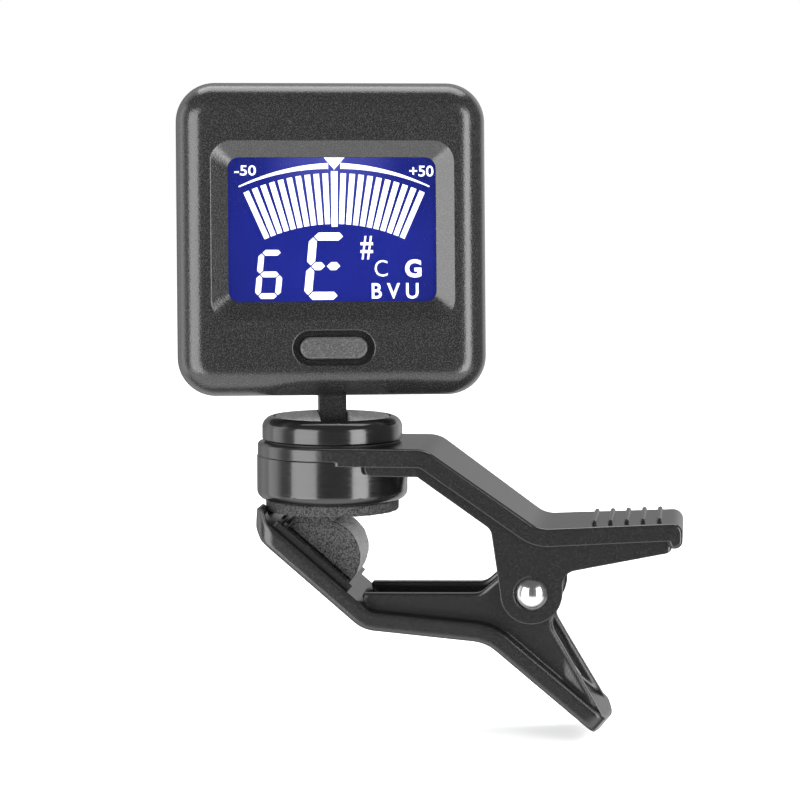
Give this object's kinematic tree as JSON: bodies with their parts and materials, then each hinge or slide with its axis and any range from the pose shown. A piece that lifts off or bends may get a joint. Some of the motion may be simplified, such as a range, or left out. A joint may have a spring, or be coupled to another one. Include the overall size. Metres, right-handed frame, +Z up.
{
  "type": "clip-on tuner",
  "caption": "Clip-on instrument tuner: square head with a display and a button on a tilting neck, a swivel turret, and a sprung clamp with foam-padded jaws.",
  "frame": {"origin": "centre of the upper foam pad's contact face, where the swivel axis crosses it", "axes": "+Z up the swivel axis from the pad to the head; +X from the pads towards the two finger handles, in the clamp's middle plane; -Y is the front, the side the display faces"},
  "size_m": [0.066, 0.0219, 0.0824],
  "materials": {
    "jaw_plastic": "satin black moulding",
    "deck_plastic": "smooth black",
    "gloss_black": "polished black",
    "satin_insert": "satin black",
    "foam": "closed-cell foam, grainy",
    "chrome_metal": "polished",
    "pin_steel": "plain steel",
    "spring_steel": "drawn wire",
    "nylon": "plain black",
    "case_plastic": "fine speckled texture",
    "clear_window": "clear",
    "display_blue": "blue backlit display",
    "diffuser_white": "diffusing",
    "contact_rubber": "layered conductive rubber",
    "board_green": "solder mask",
    "chip_black": "moulded",
    "switch_metal": "stamped",
    "button_grey": "fine texture",
    "cell_steel": "nickel plated",
    "holder_plastic": "moulded",
    "contact_brass": "stamped",
    "ceramic_white": "silvered ceramic"
  },
  "bodies": {
    "clamp": {"upper_jaw": "jaw_plastic", "pad_drum": "gloss_black", "upper_pad": "foam", "friction_washer": "nylon", "wave_washer": "spring_steel", "pivot_rivet": "chrome_metal", "rivet_cap": "chrome_metal", "torsion_spring": "spring_steel"},
    "lower_arm": {"lower_jaw": "jaw_plastic", "deck_plate": "deck_plastic", "lower_pad": "foam", "spring_lower_leg": "spring_steel"},
    "turret": {"swivel_collar": "gloss_black", "collar_cap_left": "satin_insert", "collar_cap_right": "satin_insert", "retaining_plate": "pin_steel", "retaining_screw": "pin_steel", "tilt_pin": "pin_steel"},
    "head": {"neck_stem": "case_plastic", "front_case": "case_plastic", "rear_case": "case_plastic", "display_window": "clear_window", "display_glass": "display_blue", "backlight": "diffuser_white", "contact_strip_upper": "contact_rubber", "contact_strip_lower": "contact_rubber", "circuit_board": "board_green", "controller_chip": "chip_black", "tact_switch": "switch_metal", "coin_cell": "cell_steel", "cell_holder": "holder_plastic", "contact_negative": "contact_brass", "contact_positive": "contact_brass", "piezo_disc": "contact_brass", "piezo_ceramic": "ceramic_white", "case_screw_1": "pin_steel", "case_screw_2": "pin_steel", "case_screw_3": "pin_steel", "case_screw_4": "pin_steel"},
    "button": {"button_cap": "button_grey"},
    "cover": {"battery_cap": "case_plastic"}
  },
  "joints": [
    {"name": "jaw_hinge", "type": "hinge", "parent": "clamp", "child": "lower_arm", "pos_m": [0.02627, 0, -0.00943], "axis": [0, -1, 0], "range_deg": [0, 40], "stiffness_Nm_per_rad": 0.12, "springref_deg": -17.19, "deforming": ["torsion_spring"]},
    {"name": "turret_swivel", "type": "hinge", "parent": "clamp", "child": "turret", "pos_m": [0, 0, 0.0104], "axis": [0, 0, 1], "continuous": true},
    {"name": "head_tilt", "type": "hinge", "parent": "turret", "child": "head", "pos_m": [0, 0, 0.0104], "axis": [0.9806, 0.196, 0], "range_deg": [-19.6, 30.4]},
    {"name": "button_press", "type": "slide", "parent": "head", "child": "button", "axis": [-0.1951, 0.9763, -0.0941], "range_m": [0, 0.0003], "stiffness_N_per_m": 1500, "springref_m": -0.0003},
    {"name": "battery_cap_turn", "type": "hinge", "parent": "head", "child": "cover", "pos_m": [-0.00051, 0.00253, 0.03772], "axis": [-0.1951, 0.9763, -0.0941], "range_deg": [0, 45]}
  ]
}
